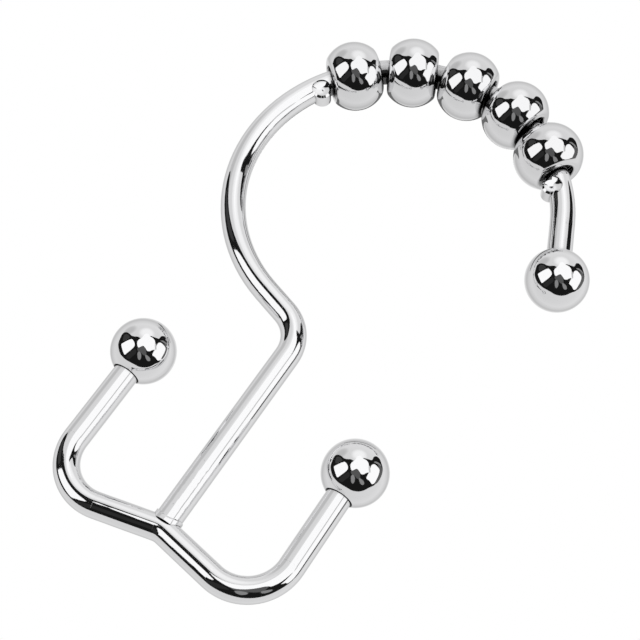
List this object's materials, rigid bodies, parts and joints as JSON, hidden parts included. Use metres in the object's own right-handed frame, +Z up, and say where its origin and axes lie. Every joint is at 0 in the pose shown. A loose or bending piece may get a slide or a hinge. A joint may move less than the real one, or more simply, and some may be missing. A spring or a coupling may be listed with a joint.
{
  "type": "shower curtain hook",
  "caption": "Bent-wire shower curtain hook: a rod hook with roller beads above, and a ball-tipped curtain hook on each side below.",
  "frame": {"origin": "centre of the rod hook's bend, which is the axis of a rod that fills the hook", "axes": "+Y along the rod, +X to the open front of the rod hook, +Z up along the shank"},
  "size_m": [0.0457, 0.0084, 0.0755],
  "materials": {
    "wire": "bright chrome plate on drawn steel wire",
    "ball": "bright chrome plate, polished",
    "bead": "bright chrome plate on formed sheet, a little darker than the wire"
  },
  "bodies": {
    "hook": {"hook_wire": "wire", "double_hook_wire": "wire", "tip_ball": "ball", "front_hook_ball": "ball", "rear_hook_ball": "ball"},
    "bead_1": {"roller_bead_1": "bead"},
    "bead_2": {"roller_bead_2": "bead"},
    "bead_3": {"roller_bead_3": "bead"},
    "bead_4": {"roller_bead_4": "bead"},
    "bead_5": {"roller_bead_5": "bead"}
  },
  "joints": [
    {"name": "bead_1_spin", "type": "hinge", "parent": "hook", "child": "bead_1", "pos_m": [-0.01423, 0, 0.01333], "axis": [-0.6837, 0, -0.7297], "continuous": true},
    {"name": "bead_2_spin", "type": "hinge", "parent": "hook", "child": "bead_2", "pos_m": [-0.00836, 0, 0.01761], "axis": [-0.9033, 0, -0.4289], "continuous": true},
    {"name": "bead_3_spin", "type": "hinge", "parent": "hook", "child": "bead_3", "pos_m": [-0.00151, 0, 0.01944], "axis": [-0.997, 0, -0.0773], "continuous": true},
    {"name": "bead_4_spin", "type": "hinge", "parent": "hook", "child": "bead_4", "pos_m": [0.00555, 0, 0.01869], "axis": [-0.9587, 0, 0.2846], "continuous": true},
    {"name": "bead_5_spin", "type": "hinge", "parent": "hook", "child": "bead_5", "pos_m": [0.01187, 0, 0.01547], "axis": [-0.7934, 0, 0.6088], "continuous": true}
  ]
}
